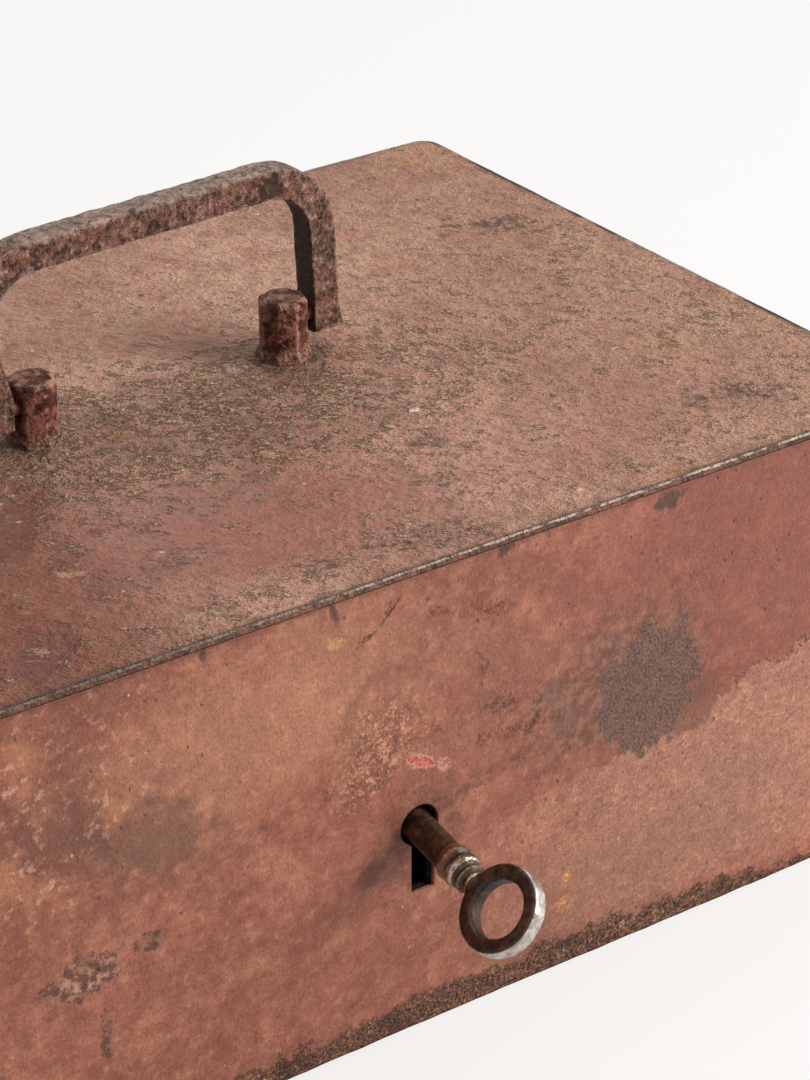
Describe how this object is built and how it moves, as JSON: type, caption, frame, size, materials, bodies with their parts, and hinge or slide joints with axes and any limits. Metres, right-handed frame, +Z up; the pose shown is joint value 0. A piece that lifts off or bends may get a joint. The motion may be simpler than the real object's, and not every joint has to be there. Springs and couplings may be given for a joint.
{
  "type": "strongbox",
  "caption": "Old sheet-iron strongbox with a hinged lid, a swinging bail handle on posts, and a box lock worked by a key in the front.",
  "frame": {"origin": "middle of the underside, on the surface that the box stands on", "axes": "+X to the right of the front, +Y to the back, +Z up; the keyhole faces -Y"},
  "size_m": [0.296, 0.2536, 0.1703],
  "materials": {
    "body_paint": "old brick-red oil paint on sheet iron, satin, rubbed and rusting through",
    "lid_paint": "the same paint, browner, dulled by grime and fine rust",
    "forged_iron": "hand-forged bar, deeply pitted brown rust",
    "post_iron": "forged iron with maroon paint left on its faces",
    "inner_iron": "bare sheet iron, dull brown oxide",
    "rivet_iron": "hammered rivet iron, brown oxide with rubbed tops",
    "lock_iron": "dark oiled lock iron, light rust",
    "bolt_steel": "worn steel, bright where it rubs",
    "spring_steel": "blue-grey spring steel",
    "key_iron": "dark brown patina, rubbed bright on the bow rim and bead"
  },
  "bodies": {
    "box": {"body_wall": "body_paint", "bottom_pan": "inner_iron", "seam_strap": "inner_iron", "hinge_back_leaf_left": "inner_iron", "hinge_back_leaf_right": "inner_iron", "hinge_pin_left": "rivet_iron", "hinge_pin_right": "rivet_iron", "seam_rivet_1": "rivet_iron", "seam_rivet_2": "rivet_iron", "seam_rivet_3": "rivet_iron", "seam_rivet_4": "rivet_iron", "seam_rivet_5": "rivet_iron", "seam_rivet_6": "rivet_iron", "hinge_back_rivet_1": "rivet_iron", "hinge_back_rivet_2": "rivet_iron", "hinge_back_rivet_3": "rivet_iron", "hinge_back_rivet_4": "rivet_iron", "lock_plate": "lock_iron", "lock_wall_left": "lock_iron", "lock_wall_right": "lock_iron", "lock_wall_bottom": "lock_iron", "lock_wall_top": "lock_iron", "lock_cap": "lock_iron", "ward_ring": "lock_iron", "bolt_guide_1": "lock_iron", "bolt_guide_2": "lock_iron", "bolt_guide_3": "lock_iron", "lock_screw_1": "rivet_iron", "lock_screw_2": "rivet_iron", "lock_screw_3": "rivet_iron", "lock_screw_4": "rivet_iron"},
    "lid": {"lid_plate": "lid_paint", "lid_rim_front": "inner_iron", "lid_rim_left": "inner_iron", "lid_rim_right": "inner_iron", "hinge_lid_leaf_left": "inner_iron", "hinge_lid_leaf_right": "inner_iron", "hinge_lid_rivet_1": "rivet_iron", "hinge_lid_rivet_2": "rivet_iron", "hinge_lid_rivet_3": "rivet_iron", "hinge_lid_rivet_4": "rivet_iron", "lid_staple": "bolt_steel", "staple_rivet_1": "rivet_iron", "staple_rivet_2": "rivet_iron", "handle_backing_plate": "inner_iron", "handle_post_left": "post_iron", "handle_post_right": "post_iron"},
    "handle": {"handle_bail": "forged_iron", "handle_pin_left": "rivet_iron", "handle_pin_right": "rivet_iron"},
    "key": {"key": "key_iron"},
    "bolt": {"bolt": "bolt_steel", "bolt_spring": "spring_steel"}
  },
  "joints": [
    {"name": "lid_hinge", "type": "hinge", "parent": "box", "child": "lid", "pos_m": [0, 0.1044, 0.1141], "axis": [-1, 0, 0], "range_deg": [0, 105]},
    {"name": "handle_swing", "type": "hinge", "parent": "lid", "child": "handle", "pos_m": [0, 0.0036, 0.1295], "axis": [0.9986, 0.0523, 0], "range_deg": [-96, 96]},
    {"name": "key_turn", "type": "hinge", "parent": "box", "child": "key", "pos_m": [-0.0005, -0.093, 0.055], "axis": [0.0554, 0.9914, 0.1184], "range_deg": [-41.3, 12]},
    {"name": "bolt_slide", "type": "slide", "parent": "box", "child": "bolt", "axis": [-1, 0, 0], "range_m": [-0.0096, 0.0029]}
  ],
  "couplings": [
    {"joint": "bolt_slide", "follows": "key_turn", "m_per_rad": 0.013148}
  ]
}
